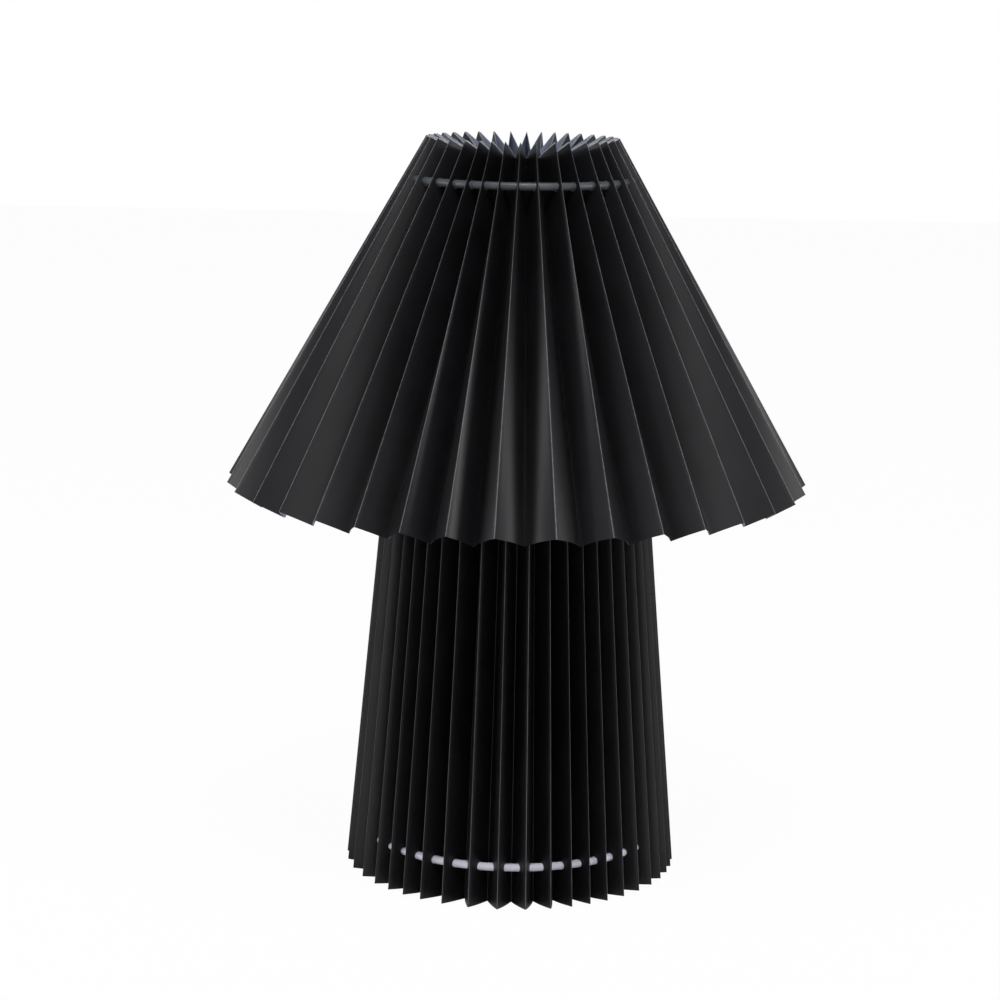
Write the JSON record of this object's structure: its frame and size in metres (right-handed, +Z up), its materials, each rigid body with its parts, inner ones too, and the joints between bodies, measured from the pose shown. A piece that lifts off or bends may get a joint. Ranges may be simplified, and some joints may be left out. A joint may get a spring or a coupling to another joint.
{
  "type": "table lamp",
  "caption": "Table lamp with a tapered pleated paper base and a conical pleated paper shade, each threaded on a wire ring, over a weighted foot, a stem and a screw-in bulb.",
  "frame": {"origin": "on the table, under the middle of the base", "axes": "+Z up along the stem, -Y to the front; the cord inlet is at the rear, +Y"},
  "size_m": [0.3, 0.2998, 0.3826],
  "materials": {
    "base_pleats": "matte black pleated paper",
    "base_ring": "pale painted wire",
    "base_spider": "black powder coat",
    "ballast_plate": "black painted casting",
    "rubber_feet": "matte",
    "cord_bush": "moulded",
    "stem_tube": "zinc plated",
    "stem_nuts": "zinc plated",
    "spreader_plate": "white paint",
    "holder_cap": "black thermoplastic",
    "holder_shell": "black thermoplastic",
    "contact_block": "unglazed",
    "centre_contact": "sheet",
    "screw_shell": "rolled sheet",
    "clamp_rings": "black thermoplastic",
    "shade_carrier": "white paint",
    "shade_pleats": "matte black pleated paper with a white back",
    "shade_ring": "dark painted wire",
    "shade_spider": "white paint",
    "bulb_tip": "plain",
    "bulb_insulator": "black glass",
    "bulb_cap": "rolled sheet",
    "bulb_collar": "white moulding",
    "bulb_globe": "frosted"
  },
  "bodies": {
    "stand": {"base_pleats": "base_pleats", "base_ring": "base_ring", "base_spider": "base_spider", "ballast_plate": "ballast_plate", "rubber_feet": "rubber_feet", "cord_bush": "cord_bush", "stem_tube": "stem_tube", "stem_nuts": "stem_nuts", "spreader_plate": "spreader_plate", "holder_cap": "holder_cap", "holder_shell": "holder_shell", "contact_block": "contact_block", "centre_contact": "centre_contact", "screw_shell": "screw_shell", "clamp_rings": "clamp_rings", "shade_carrier": "shade_carrier"},
    "shade": {"shade_pleats": "shade_pleats", "shade_ring": "shade_ring", "shade_spider": "shade_spider"},
    "bulb_contact": {"bulb_tip": "bulb_tip"},
    "bulb": {"bulb_insulator": "bulb_insulator", "bulb_cap": "bulb_cap", "bulb_collar": "bulb_collar", "bulb_globe": "bulb_globe"}
  },
  "joints": [
    {"name": "shade_lift", "type": "slide", "parent": "stand", "child": "shade", "axis": [0, 0, 1], "range_m": [0, 0.2]},
    {"name": "bulb_rise", "type": "slide", "parent": "stand", "child": "bulb_contact", "axis": [0, 0, 1], "range_m": [0, 0.01452]},
    {"name": "bulb_turn", "type": "hinge", "parent": "bulb_contact", "child": "bulb", "pos_m": [0, 0, 0.25], "axis": [0, 0, 1], "range_deg": [0, 1440.01]}
  ],
  "couplings": [
    {"joint": "bulb_turn", "follows": "bulb_rise", "rad_per_m": 1730.9}
  ]
}
